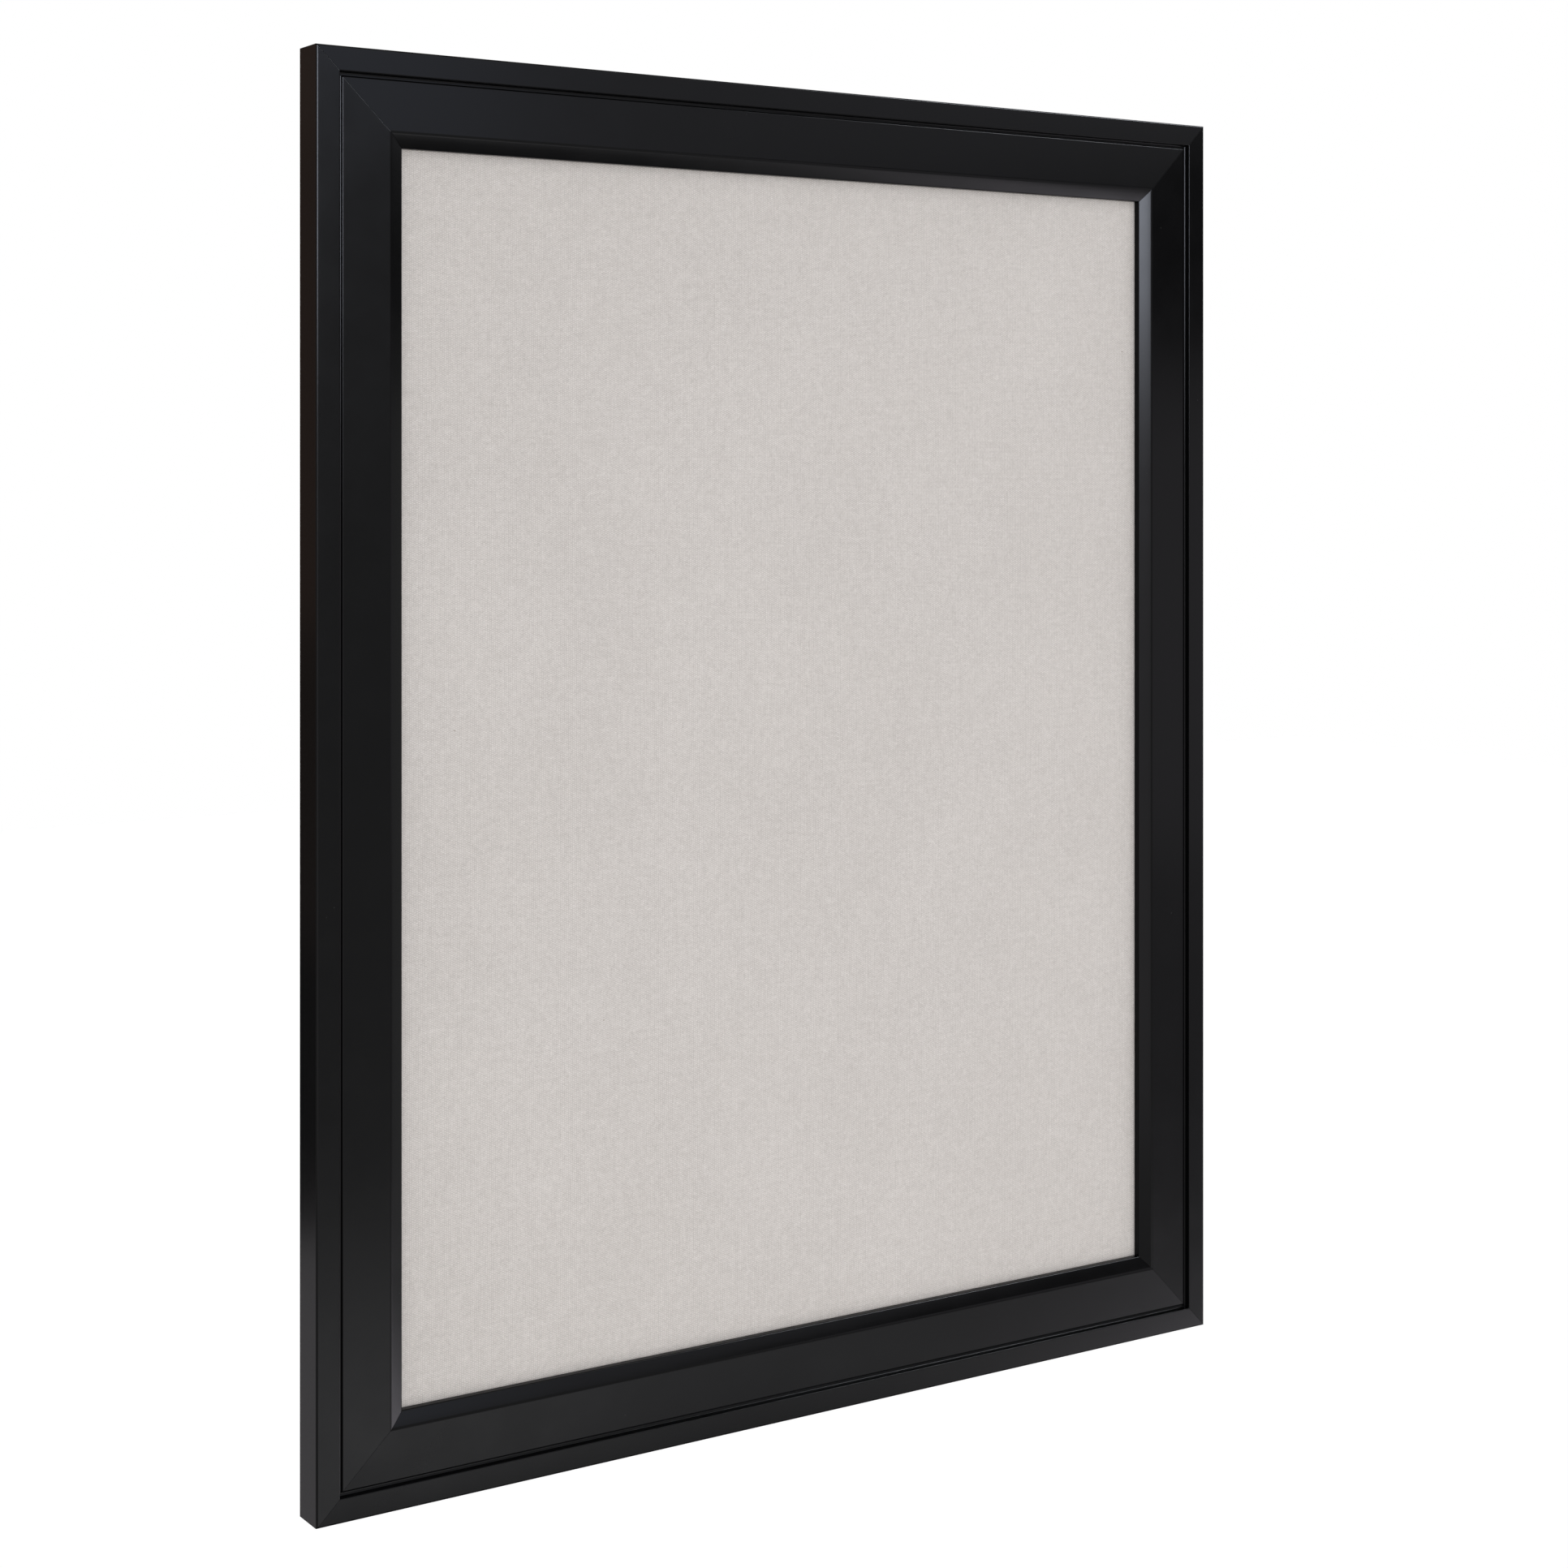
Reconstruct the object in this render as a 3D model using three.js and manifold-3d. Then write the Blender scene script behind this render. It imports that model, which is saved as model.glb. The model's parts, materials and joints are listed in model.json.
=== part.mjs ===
// A framed pin board: linen stretched over a soft panel, held in a mitred moulding, hung by four ring hangers.
// Millimetres, +Z up. The front faces -Y and the wall side faces +Y.
// The origin lies on the wall, midway between the two hooks that carry the upright board.
import * as THREE from "three";
import { mergeVertices } from "three/addons/utils/BufferGeometryUtils.js";
import Module from "manifold-3d";

const wasm = await Module();
wasm.setup();

// The whole board
const boardWidth = 596.9;
const boardHeight = 749.3;
const frameDepth = 21.5;

// Moulding section: widths run inward from the outer edge, drops run back from the band's inner edge.
// The band and the field both fall away a little towards the outside.
const bandWidth = 12.7;
const bandFall = 0.5;
const grooveWidth = 2.4;
const grooveDrop = 3.6;
const grooveDraft = 0.2;
const fieldWidth = 26.7;
const fieldDrop = 1.5;
const fieldFall = 1;
const bevelWidth = 7.7;
const noseDrop = 5;
const bevelCrown = 0.08;
const rabbetWidth = 6.5;

// How far each edge of the moulding is rounded off
const outerEdgeRound = 1;
const bandEdgeRound = 0.5;
const grooveBandRound = 0.9;
const grooveFieldRound = 0.5;
const fieldEdgeRound = 0.5;
const bevelStartRound = 1;
const bevelCrownRound = 2.6;
const noseRound = 0.6;
const backEdgeRound = 0.5;
const edgeSegments = 5;

// Mitres and the chevron nails that pull them together
const mitreGap = 0.12;
const nailInsets = [12, 30];
const nailArm = 5;
const nailThickness = 0.5;
const nailHeight = 10;
const nailSink = 0.4;
const nailHalfAngle = 0.62;
const nailClearance = 0.15;

// The layers in the rabbet, from the back forwards
const pointSink = 0.4;
const pointThickness = 0.5;
const backingThickness = 2.5;
const linenThickness = 0.6;
const panelThickness = 7;
const layerGap = 0.2;

// Clearances round the edges of the layers
const backingEdgeGap = 1;
const linenEdgeGap = 0.8;
const backingCornerRound = 2;
const panelCornerRound = 1.2;
const hemWidth = 38;

// Flat steel points pushed into the rabbet wall behind the backing board
const pointsPerStile = 4;
const pointsPerRail = 3;
const pointWidth = 5;
const pointLength = 15;
const pointGrip = 8;
const pointTaper = 1.6;
const pointClearance = 0.15;

// Ring hangers: a folded strap, a bent wire ring and one screw each
const hangerPlaceShare = 0.2;
const strapSheet = 0.7;
const strapSlit = 0.1;
const strapWidth = 11;
const strapLength = 26;
const strapNeck = 5;
const strapSlitStart = 6;
const strapTailRound = 4.5;
const wireRadius = 1;
const wireClearance = 0.15;
const wireSides = 8;
const ringInnerWidth = 16;
const ringReach = 11.5;
const ringCornerRound = 2.4;
const ringBowFlat = 4;
const ringButtGap = 0.4;
const ringSteps = 44;
const ringRestClearance = 0.1;
const screwPlace = 19.5;
const screwShankRadius = 1.5;
const screwShankLength = 13;
const screwTipLength = 3;
const screwHeadRadius = 3.2;
const screwHeadEdge = 0.6;
const screwHeadHeight = 1.9;
const screwSlotWidth = 0.9;
const screwSlotLength = 3.6;
const screwSlotDepth = 0.9;
const screwClearance = 0.2;
const screwSeatGap = 0.1;
const turnedSegments = 20;

// Rubber bumpers that keep the hangers off the wall
const bumperHeight = 4;
const bumperRadius = 5.5;
const bumperFaceRadius = 3.6;
const bumperShoulder = 1.2;
const bumperFromCorner = 36;
const bumperGlue = 0.1;

// How far a cutting solid runs past the face that it opens
const overrun = 1;

// Places in the section
const fieldStart = bandWidth + grooveWidth;
const bevelStart = fieldStart + fieldWidth;
const sightEdge = bevelStart + bevelWidth;
const backWidth = sightEdge - rabbetWidth;
const backMiddle = backWidth / 2;

// Depths of the layers' back faces, measured forwards from the back of the frame
const backingBack = pointSink + pointThickness + layerGap;
const hemBack = backingBack + backingThickness + layerGap;
const panelBack = hemBack + linenThickness + layerGap;
const linenFront = panelBack + panelThickness + layerGap + linenThickness;
const rabbetDepth = linenFront + layerGap;

// The space inside the rabbet and the sizes of the layers
const rabbetSpanX = boardWidth - 2 * backWidth;
const rabbetSpanZ = boardHeight - 2 * backWidth;
const linenSpanX = rabbetSpanX - 2 * linenEdgeGap;
const linenSpanZ = rabbetSpanZ - 2 * linenEdgeGap;
const linenWrap = linenThickness + layerGap;
const panelSpanX = linenSpanX - 2 * linenWrap;
const panelSpanZ = linenSpanZ - 2 * linenWrap;

// Places in a hanger, from the frame's back outward
const strapThickness = 2 * strapSheet + strapSlit;
const eyeRadius = wireRadius + wireClearance;
const hingeStandoff = strapSheet + eyeRadius;
const loopRadius = strapSheet + eyeRadius;
const ringHalfWidth = ringInnerWidth / 2 + wireRadius;
const ringRestRise = strapThickness + ringRestClearance + wireRadius - hingeStandoff;
const ringRestTilt = Math.asin(ringRestRise / ringReach);

// The hooks carry the rings at the inside of their bows, with the rings swung up
const hangerHeight = boardHeight / 2 - hangerPlaceShare * boardHeight;
const hookHeight = hangerHeight + ringReach - wireRadius;

const lacquer = { color: 0x17181a, roughness: 0.34, metalness: 0 };
const linen = { color: 0xcbc4bf, roughness: 0.95, metalness: 0 };
const fibreboard = { color: 0xa58a68, roughness: 0.95, metalness: 0 };
const hardboard = { color: 0x6b4a30, roughness: 0.8, metalness: 0 };
const zinc = { color: 0xb9bbbd, roughness: 0.32, metalness: 1 };
const rubber = { color: 0x2a2a2b, roughness: 0.85, metalness: 0 };

// A closed three.js geometry as a solid, with its shared corners merged
function solidOf(geometry) {
  const bare = geometry.clone();
  bare.deleteAttribute("normal");
  bare.deleteAttribute("uv");
  const merged = mergeVertices(bare);
  const corners = merged.index.array;
  const kept = [];
  for (let i = 0; i < corners.length; i += 3) {
    const [a, b, c] = corners.slice(i, i + 3);
    if (a !== b && b !== c && c !== a) kept.push(a, b, c);
  }
  return new wasm.Manifold(
    new wasm.Mesh({
      numProp: 3,
      vertProperties: merged.attributes.position.array,
      triVerts: new Uint32Array(kept),
    }),
  );
}

// A solid as a three.js geometry with flat faces
function geometryOf(solid) {
  const mesh = solid.getMesh();
  const geometry = new THREE.BufferGeometry();
  geometry.setAttribute("position", new THREE.BufferAttribute(mesh.vertProperties, 3));
  geometry.setIndex(new THREE.BufferAttribute(mesh.triVerts, 1));
  const flat = geometry.toNonIndexed();
  flat.computeVertexNormals();
  return flat;
}

function cutFrom(geometry, cutters) {
  let solid = solidOf(geometry);
  for (const cutter of cutters) solid = solid.subtract(solidOf(cutter));
  return geometryOf(solid);
}

function piece(name, geometry, finish) {
  const mesh = new THREE.Mesh(geometry, new THREE.MeshStandardMaterial(finish));
  mesh.name = name;
  return mesh;
}

// An outline through corners [x, y, cut], each rounded from cut before it to cut after it
function roundedOutline(corners) {
  const shape = new THREE.Shape();
  corners.forEach(([x, y, cut], i) => {
    const here = new THREE.Vector2(x, y);
    const before = new THREE.Vector2(...corners.at(i - 1).slice(0, 2));
    const after = new THREE.Vector2(...corners[(i + 1) % corners.length].slice(0, 2));
    const entry = here.clone().add(before.sub(here).setLength(cut));
    const exit = here.clone().add(after.sub(here).setLength(cut));
    if (i === 0) shape.moveTo(entry.x, entry.y);
    else shape.lineTo(entry.x, entry.y);
    if (cut > 0) shape.quadraticCurveTo(here.x, here.y, exit.x, exit.y);
  });
  shape.closePath();
  return shape;
}

// A rectangle centred on the origin, with rounded corners
function roundedRectangle(width, height, cut) {
  const x = width / 2;
  const y = height / 2;
  return roundedOutline([
    [-x, -y, cut],
    [x, -y, cut],
    [x, y, cut],
    [-x, y, cut],
  ]);
}

// A shape drawn in X and Z, extruded forwards from one depth behind the frame's back to another
function plate(shape, back, front) {
  const geometry = new THREE.ExtrudeGeometry(shape, {
    depth: front - back,
    bevelEnabled: false,
    curveSegments: edgeSegments,
  });
  geometry.rotateX(Math.PI / 2);
  geometry.translate(0, -back, 0);
  return geometry;
}

// The moulding section: x runs inward from the outer edge, y is zero at the frame's back
function mouldingSection() {
  const front = -frameDepth;
  const seat = -rabbetDepth;
  const bevelMiddle = (bevelStart + sightEdge) / 2;
  const crownDrop = (fieldDrop + noseDrop) / 2 - bevelCrown;
  return roundedOutline([
    [0, 0, backEdgeRound],
    [0, front + bandFall, outerEdgeRound],
    [bandWidth, front, bandEdgeRound],
    [bandWidth + grooveDraft, front + grooveDrop, grooveBandRound],
    [fieldStart - grooveDraft, front + grooveDrop, grooveFieldRound],
    [fieldStart, front + fieldDrop + fieldFall, fieldEdgeRound],
    [bevelStart, front + fieldDrop, bevelStartRound],
    [bevelMiddle, front + crownDrop, bevelCrownRound],
    [sightEdge, front + noseDrop, noseRound],
    [sightEdge, seat, 0],
    [backWidth, seat, 0],
    [backWidth, 0, backEdgeRound],
  ]);
}

// One length of moulding with both ends mitred: its outer edge lies on Z = 0 and it runs along X
function mitredLength(length) {
  const geometry = new THREE.ExtrudeGeometry(mouldingSection(), {
    depth: length,
    bevelEnabled: false,
    curveSegments: edgeSegments,
  });
  geometry.translate(0, 0, -length / 2);
  geometry.rotateY(Math.PI / 2);
  const places = geometry.attributes.position;
  const setBack = mitreGap / Math.SQRT2;
  for (let i = 0; i < places.count; i++) {
    const inward = -places.getZ(i);
    places.setX(i, Math.sign(places.getX(i)) * (length / 2 - inward - setBack));
  }
  return geometry;
}

// A chevron nail, or with a clearance the pocket for it, pointing along X
function chevronNail(clearance, back) {
  const thickness = nailThickness + 2 * clearance;
  const arm = nailArm + clearance;
  const sine = Math.sin(nailHalfAngle);
  const cosine = Math.cos(nailHalfAngle);
  const apex = thickness / 2 / sine;
  const acrossX = (sine * thickness) / 2;
  const acrossY = (cosine * thickness) / 2;
  const shape = new THREE.Shape();
  shape.moveTo(apex, 0);
  shape.lineTo(acrossX - arm * cosine, arm * sine + acrossY);
  shape.lineTo(-arm * cosine - acrossX, arm * sine - acrossY);
  shape.lineTo(-apex, 0);
  shape.lineTo(-arm * cosine - acrossX, acrossY - arm * sine);
  shape.lineTo(acrossX - arm * cosine, -arm * sine - acrossY);
  shape.closePath();
  return plate(shape, back, nailSink + nailHeight + clearance);
}

// A flat point lying along Z, its gripped end outward, with its nose tapered towards the board
function flatPoint() {
  const half = pointWidth / 2;
  const shape = new THREE.Shape();
  shape.moveTo(-half, 0);
  shape.lineTo(-half, -pointLength + pointTaper);
  shape.lineTo(pointTaper - half, -pointLength);
  shape.lineTo(half - pointTaper, -pointLength);
  shape.lineTo(half, -pointLength + pointTaper);
  shape.lineTo(half, 0);
  shape.closePath();
  return plate(shape, pointSink, pointSink + pointThickness);
}

// The slot in the rabbet wall that grips a flat point
function pointSlot() {
  const half = pointWidth / 2 + pointClearance;
  const shape = new THREE.Shape();
  shape.moveTo(-half, pointClearance);
  shape.lineTo(half, pointClearance);
  shape.lineTo(half, -pointGrip - overrun);
  shape.lineTo(-half, -pointGrip - overrun);
  shape.closePath();
  return plate(shape, pointSink - pointClearance, pointSink + pointThickness + pointClearance);
}

// A round piece turned about Y from a profile of [radius, height]
function turned(profile) {
  const points = profile.map(([radius, height]) => new THREE.Vector2(radius, height));
  return new THREE.LatheGeometry(points, turnedSegments);
}

// A straight round hole along Y
function roundHole(radius, bottom, top) {
  const geometry = new THREE.CylinderGeometry(radius, radius, top - bottom, turnedSegments);
  geometry.translate(0, (bottom + top) / 2, 0);
  return geometry;
}

// The strap: one sheet folded round the ring's bar and back on itself, lying on the frame along X
function hangerStrap() {
  const side = new THREE.Shape();
  side.moveTo(strapLength, 0);
  side.lineTo(strapLength, strapThickness);
  side.lineTo(strapNeck, strapThickness);
  side.quadraticCurveTo(loopRadius, strapThickness, loopRadius / 2, hingeStandoff + eyeRadius);
  side.lineTo(0, hingeStandoff + loopRadius);
  side.absarc(0, hingeStandoff, loopRadius, Math.PI / 2, Math.PI * 1.5, false);
  side.closePath();
  const eye = new THREE.Path();
  eye.absarc(0, hingeStandoff, eyeRadius, 0, Math.PI * 2, true);
  side.holes.push(eye);
  const folded = new THREE.ExtrudeGeometry(side, {
    depth: strapWidth,
    bevelEnabled: false,
    curveSegments: turnedSegments,
  });
  folded.translate(0, 0, -strapWidth / 2);
  const half = strapWidth / 2;
  const outline = roundedOutline([
    [-loopRadius - overrun, -half, 0],
    [strapLength, -half, strapTailRound],
    [strapLength, half, strapTailRound],
    [-loopRadius - overrun, half, 0],
  ]);
  const sleeve = plate(outline, -hingeStandoff - loopRadius - overrun, overrun);
  const slitLength = strapLength + overrun - strapSlitStart;
  const slit = new THREE.BoxGeometry(slitLength, strapSlit, strapWidth + 2 * overrun);
  slit.translate(strapSlitStart + slitLength / 2, strapThickness / 2, 0);
  const hole = roundHole(screwShankRadius + screwClearance, -overrun, strapThickness + overrun);
  hole.translate(screwPlace, 0, 0);
  const solid = solidOf(folded).intersect(solidOf(sleeve));
  return geometryOf(solid.subtract(solidOf(slit)).subtract(solidOf(hole)));
}

// The ring's centre line: its bar lies on the hinge along Z, and its bow reaches out along X
function ringPath() {
  const at = (x, z) => new THREE.Vector3(x, 0, z);
  const side = ringHalfWidth;
  const turn = ringCornerRound;
  const middle = (turn + ringReach) / 2;
  const path = new THREE.CurvePath();
  path.add(new THREE.LineCurve3(at(0, ringButtGap / 2), at(0, side - turn)));
  path.add(new THREE.QuadraticBezierCurve3(at(0, side - turn), at(0, side), at(turn, side)));
  path.add(new THREE.CubicBezierCurve3(
    at(turn, side), at(middle, side), at(ringReach, side - turn), at(ringReach, ringBowFlat / 2)));
  path.add(new THREE.LineCurve3(at(ringReach, ringBowFlat / 2), at(ringReach, -ringBowFlat / 2)));
  path.add(new THREE.CubicBezierCurve3(
    at(ringReach, -ringBowFlat / 2), at(ringReach, turn - side), at(middle, -side), at(turn, -side)));
  path.add(new THREE.QuadraticBezierCurve3(at(turn, -side), at(0, -side), at(0, turn - side)));
  path.add(new THREE.LineCurve3(at(0, turn - side), at(0, -ringButtGap / 2)));
  return path;
}

function hangerRing() {
  const section = [];
  for (let i = 0; i < wireSides; i++) {
    const angle = (i + 0.5) * ((2 * Math.PI) / wireSides);
    section.push(new THREE.Vector2(Math.cos(angle), Math.sin(angle)).multiplyScalar(wireRadius));
  }
  return new THREE.ExtrudeGeometry(new THREE.Shape(section), {
    steps: ringSteps,
    extrudePath: ringPath(),
  });
}

// The screw: a round head with a cross slot, and a plain shank with a pointed tip
function hangerScrew() {
  const seat = strapThickness + screwSeatGap;
  const top = seat + screwHeadHeight;
  const shoulder = (screwHeadRadius + screwSlotLength / 2) / 2;
  const body = turned([
    [0, -screwShankLength],
    [screwShankRadius, screwTipLength - screwShankLength],
    [screwShankRadius, seat],
    [screwHeadRadius, seat],
    [screwHeadRadius, seat + screwHeadEdge],
    [shoulder, (top + seat + screwHeadEdge) / 2],
    [screwSlotLength / 2, top],
    [0, top],
  ]);
  const slots = [0, Math.PI / 2].map((angle) => {
    const slot = new THREE.BoxGeometry(screwSlotLength, screwSlotDepth + overrun, screwSlotWidth);
    slot.translate(0, top - screwSlotDepth + (screwSlotDepth + overrun) / 2, 0);
    slot.rotateY(angle);
    return slot;
  });
  return cutFrom(body, slots);
}

function screwPilot() {
  return roundHole(screwShankRadius + screwClearance, -screwShankLength - screwClearance, overrun);
}

function bumper() {
  return geometryOf(solidOf(turned([
    [0, bumperGlue],
    [bumperRadius, bumperGlue],
    [bumperRadius, bumperShoulder],
    [(bumperRadius + bumperFaceRadius) / 2, (bumperShoulder + bumperHeight) / 2 + bumperGlue],
    [bumperFaceRadius, bumperHeight],
    [0, bumperHeight],
  ])));
}

// The linen: its front, its four turned edges and the hems glued behind the panel
function linenCover() {
  const outer = plate(roundedRectangle(linenSpanX, linenSpanZ, panelCornerRound), hemBack, linenFront);
  const cavityX = linenSpanX - 2 * linenThickness;
  const cavityZ = linenSpanZ - 2 * linenThickness;
  const cavity = plate(
    roundedRectangle(cavityX, cavityZ, panelCornerRound),
    hemBack + linenThickness,
    linenFront - linenThickness,
  );
  const window = plate(
    roundedRectangle(panelSpanX - 2 * hemWidth, panelSpanZ - 2 * hemWidth, 0),
    hemBack - overrun,
    hemBack + linenThickness + overrun,
  );
  return cutFrom(outer, [cavity, window]);
}

// The four sides, each drawn as the top rail and turned about Y by quarter turns.
// A hanger's place runs along its side, and its strap points that way (1) or back (-1).
const hangerAcross = boardWidth / 2 - hangerPlaceShare * boardWidth;
const sides = [
  {
    name: "frame_rail_top", turn: 0, length: boardWidth, offset: boardHeight / 2, points: pointsPerRail,
    hanger: "landscape_upper", place: -hangerAcross, strap: 1, corner: "top",
  },
  {
    name: "frame_stile_right", turn: 1, length: boardHeight, offset: boardWidth / 2, points: pointsPerStile,
    hanger: "portrait_right", place: -hangerHeight, strap: 1,
  },
  {
    name: "frame_rail_bottom", turn: 2, length: boardWidth, offset: boardHeight / 2, points: pointsPerRail,
    hanger: "landscape_lower", place: hangerAcross, strap: -1, corner: "bottom",
  },
  {
    name: "frame_stile_left", turn: 3, length: boardHeight, offset: boardWidth / 2, points: pointsPerStile,
    hanger: "portrait_left", place: hangerHeight, strap: -1,
  },
];
const cornerNames = ["top_left", "top_right", "bottom_right", "bottom_left"];

const group = new THREE.Group();
group.position.set(0, -bumperHeight, -hookHeight);

sides.forEach((side, index) => {
  const arm = new THREE.Group();
  arm.rotation.y = (side.turn * Math.PI) / 2;
  const shelf = new THREE.Group();
  shelf.position.z = side.offset;
  arm.add(shelf);
  group.add(arm);
  const cutters = [];

  // Both ends are cut for nails, and the nails of the left-hand corner belong to this side
  for (const end of [-1, 1]) {
    nailInsets.forEach((inset, n) => {
      const place = (geometry) => {
        geometry.rotateY(end < 0 ? -Math.PI * 0.75 : -Math.PI * 0.25);
        geometry.translate(end * (side.length / 2 - inset), 0, -inset);
        return geometry;
      };
      cutters.push(place(chevronNail(nailClearance, -overrun)));
      if (end > 0) return;
      const name = "v_nail_" + cornerNames[index] + "_" + (n + 1);
      shelf.add(piece(name, place(chevronNail(0, nailSink)), zinc));
    });
  }

  const pitch = (side.length - 2 * backWidth) / side.points;
  for (let i = 0; i < side.points; i++) {
    const along = (i - (side.points - 1) / 2) * pitch;
    const inward = -(backWidth - pointGrip);
    const slot = pointSlot();
    slot.translate(along, 0, inward);
    cutters.push(slot);
    const point = piece("frame_point_" + side.name.slice("frame_".length) + "_" + (i + 1), flatPoint(), zinc);
    point.position.set(along, 0, inward);
    shelf.add(point);
  }

  const pilot = screwPilot();
  pilot.translate(side.place + side.strap * screwPlace, 0, -backMiddle);
  cutters.push(pilot);
  shelf.add(piece(side.name, cutFrom(mitredLength(side.length), cutters), lacquer));

  const hanger = new THREE.Group();
  hanger.position.set(side.place, 0, -backMiddle);
  hanger.rotation.y = side.strap > 0 ? 0 : Math.PI;
  hanger.add(piece("hanger_strap_" + side.hanger, hangerStrap(), zinc));
  const screw = piece("hanger_screw_" + side.hanger, hangerScrew(), zinc);
  screw.position.x = screwPlace;
  hanger.add(screw);
  const ring = piece("hanger_ring_" + side.hanger, hangerRing(), zinc);
  ring.position.y = hingeStandoff;
  ring.rotation.z = ringRestTilt;
  hanger.add(ring);
  shelf.add(hanger);

  // The rails carry the bumpers, one near each corner
  if (side.corner) {
    for (const end of [-1, 1]) {
      const across = end * (side.length / 2 - bumperFromCorner);
      const hand = end * (side.turn === 0 ? 1 : -1) < 0 ? "left" : "right";
      const foot = piece("wall_bumper_" + side.corner + "_" + hand, bumper(), rubber);
      foot.position.set(across, 0, -backMiddle);
      shelf.add(foot);
    }
  }
});

group.add(piece("linen_cover", linenCover(), linen));
const panelShape = roundedRectangle(panelSpanX, panelSpanZ, panelCornerRound);
group.add(piece("pin_panel", plate(panelShape, panelBack, panelBack + panelThickness), fibreboard));
const backingShape = roundedRectangle(
  rabbetSpanX - 2 * backingEdgeGap,
  rabbetSpanZ - 2 * backingEdgeGap,
  backingCornerRound,
);
group.add(piece("backing_board", plate(backingShape, backingBack, backingBack + backingThickness), hardboard));

export default group;
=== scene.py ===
import bmesh
import bpy
import json
import math
from mathutils import Matrix, Vector


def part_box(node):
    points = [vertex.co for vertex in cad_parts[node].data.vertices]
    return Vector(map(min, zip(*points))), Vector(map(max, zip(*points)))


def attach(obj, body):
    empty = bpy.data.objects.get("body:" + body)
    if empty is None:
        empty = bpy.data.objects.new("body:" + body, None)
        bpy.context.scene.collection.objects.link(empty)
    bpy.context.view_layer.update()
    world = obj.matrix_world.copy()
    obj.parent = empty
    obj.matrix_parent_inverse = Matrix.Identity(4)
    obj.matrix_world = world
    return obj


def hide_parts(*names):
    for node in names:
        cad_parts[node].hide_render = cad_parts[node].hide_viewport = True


# The framed pin board in metres: its front faces -Y, its wall side +Y, and Z is up.
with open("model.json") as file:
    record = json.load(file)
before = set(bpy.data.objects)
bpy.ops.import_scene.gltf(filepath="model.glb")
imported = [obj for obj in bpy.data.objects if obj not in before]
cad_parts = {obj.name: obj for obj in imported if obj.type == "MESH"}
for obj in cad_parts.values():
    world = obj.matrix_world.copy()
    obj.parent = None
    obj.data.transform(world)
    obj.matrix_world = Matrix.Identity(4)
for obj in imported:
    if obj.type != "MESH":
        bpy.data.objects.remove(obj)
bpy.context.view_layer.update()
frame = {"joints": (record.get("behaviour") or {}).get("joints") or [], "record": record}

MM = 0.001
BOARD = "board"

# The board's own planes, read from the solids
left_low, left_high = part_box("frame_stile_left")
_, right_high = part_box("frame_stile_right")
_, top_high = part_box("frame_rail_top")
bottom_low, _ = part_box("frame_rail_bottom")
front_plane = left_low.y
back_plane = left_high.y
board_middle = Vector((0, (front_plane + back_plane) / 2, (top_high.z + bottom_low.z) / 2))

# The photograph's camera: level, at the front left of the board, with its axis above the picture's middle
CAMERA_PLACE = (-0.8550, -1.2964, -0.0772)
CAMERA_TURN = -33.42
CAMERA_LENS = 62.3
CAMERA_FILM = 36
CAMERA_SHIFT = -0.1985


def add_camera():
    data = bpy.data.cameras.new("camera")
    data.lens = CAMERA_LENS
    data.sensor_width = CAMERA_FILM
    data.shift_y = CAMERA_SHIFT
    camera = bpy.data.objects.new("camera", data)
    camera.location = CAMERA_PLACE
    camera.rotation_euler = (math.pi / 2, 0, math.radians(CAMERA_TURN))
    bpy.context.scene.collection.objects.link(camera)
    bpy.context.scene.camera = camera


# Node graphs


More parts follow.
